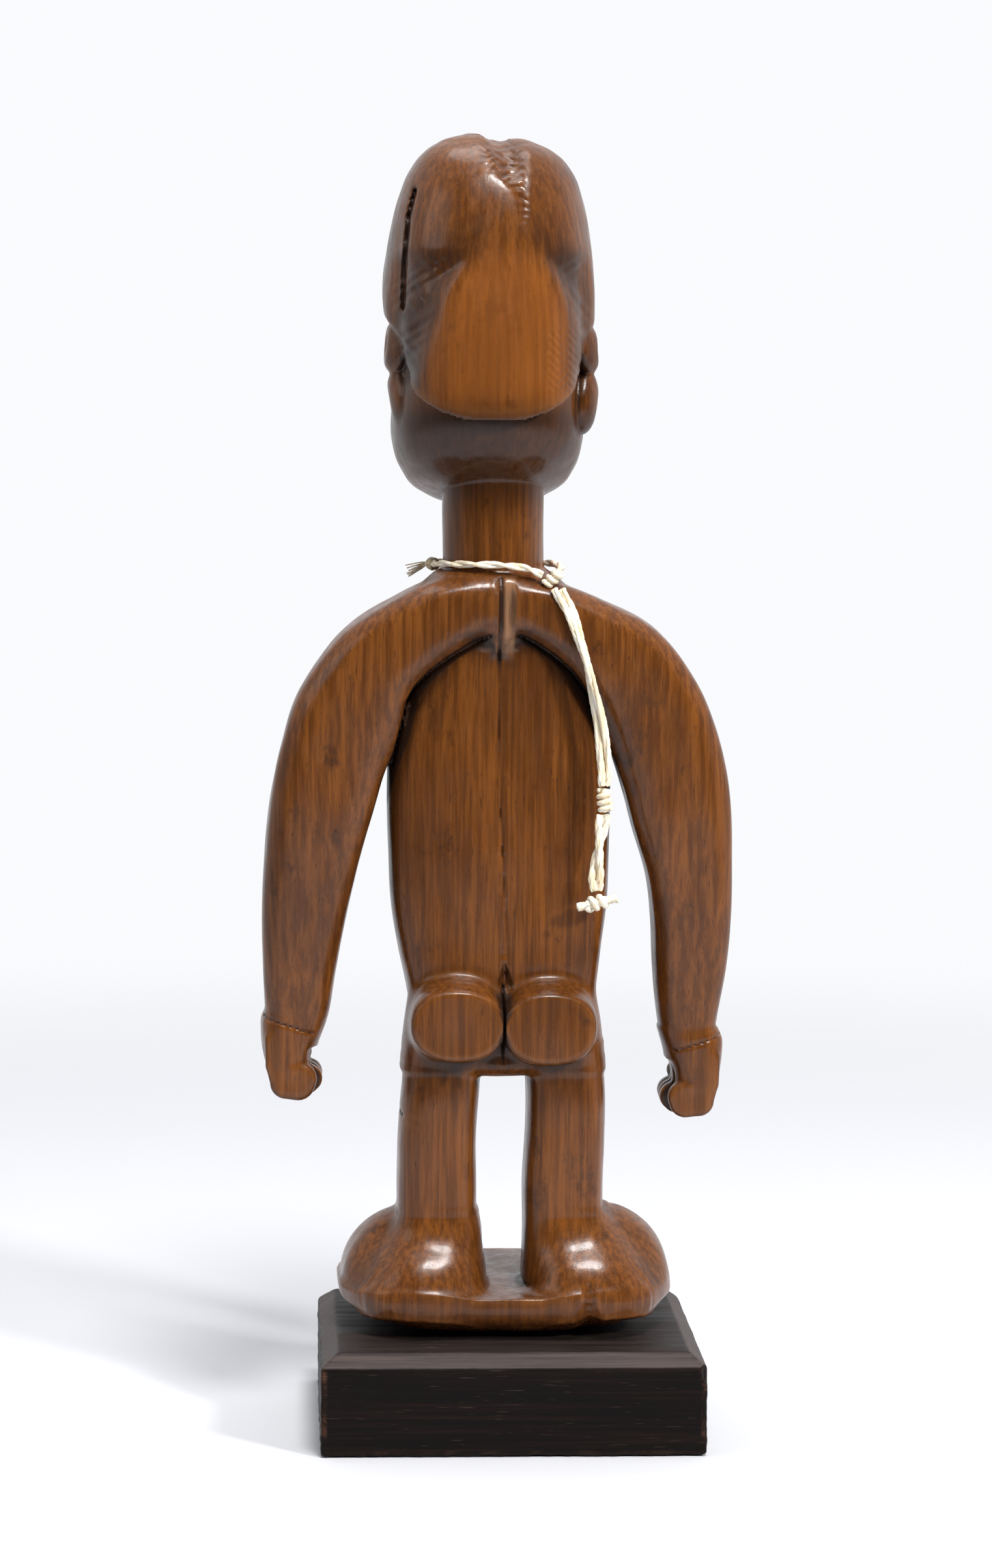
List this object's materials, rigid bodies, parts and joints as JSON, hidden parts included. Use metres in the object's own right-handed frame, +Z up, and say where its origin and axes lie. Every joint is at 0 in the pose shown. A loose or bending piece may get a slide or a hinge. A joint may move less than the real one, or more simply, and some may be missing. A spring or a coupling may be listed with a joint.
{
  "type": "fertility doll",
  "caption": "Carved wooden standing doll on a chamfered plinth, with a knotted raffia cord round its neck whose tail hangs down the back.",
  "frame": {"origin": "middle of the plinth's underside", "axes": "+Z up; the doll faces -Y; its left hand is towards +X"},
  "size_m": [0.1361, 0.096, 0.373],
  "materials": {
    "carved_wood": "hand-carved, worn and polished to a satin sheen",
    "dark_wood": "dark stain, open grain, worn edges",
    "raffia": "dry twisted plant fibre",
    "screw_steel": "plain turned steel"
  },
  "bodies": {
    "carving": {"figure": "carved_wood", "plinth": "dark_wood", "mount_screw_left": "screw_steel", "mount_screw_right": "screw_steel"},
    "loop": {"neck_cord_back": "raffia", "neck_cord_front": "raffia", "tie_knot": "raffia", "frayed_end": "raffia"},
    "knot": {"neck_knot": "raffia"},
    "tail_upper": {"upper_tail_strand_a": "raffia", "upper_tail_strand_b": "raffia", "middle_knot": "raffia"},
    "tail_lower": {"lower_tail_strand_a": "raffia", "lower_tail_strand_b": "raffia", "end_knot": "raffia"}
  },
  "joints": [
    {"name": "loop_turn", "type": "hinge", "parent": "carving", "child": "loop", "pos_m": [0.0052, 0, 0.2505], "axis": [0, 0, -1], "range_deg": [0, 35]},
    {"name": "tail_sway", "type": "hinge", "parent": "loop", "child": "knot", "pos_m": [-0.0104, 0.0186, 0.2472], "axis": [0, 1, 0], "range_deg": [-14, 10]},
    {"name": "tail_lift", "type": "hinge", "parent": "knot", "child": "tail_upper", "pos_m": [-0.0104, 0.0186, 0.2472], "axis": [1, 0, 0], "range_deg": [0, 60]},
    {"name": "tail_bend", "type": "hinge", "parent": "tail_upper", "child": "tail_lower", "pos_m": [-0.0255, 0.0228, 0.1844], "axis": [1, 0, 0], "range_deg": [-6, 50]}
  ]
}
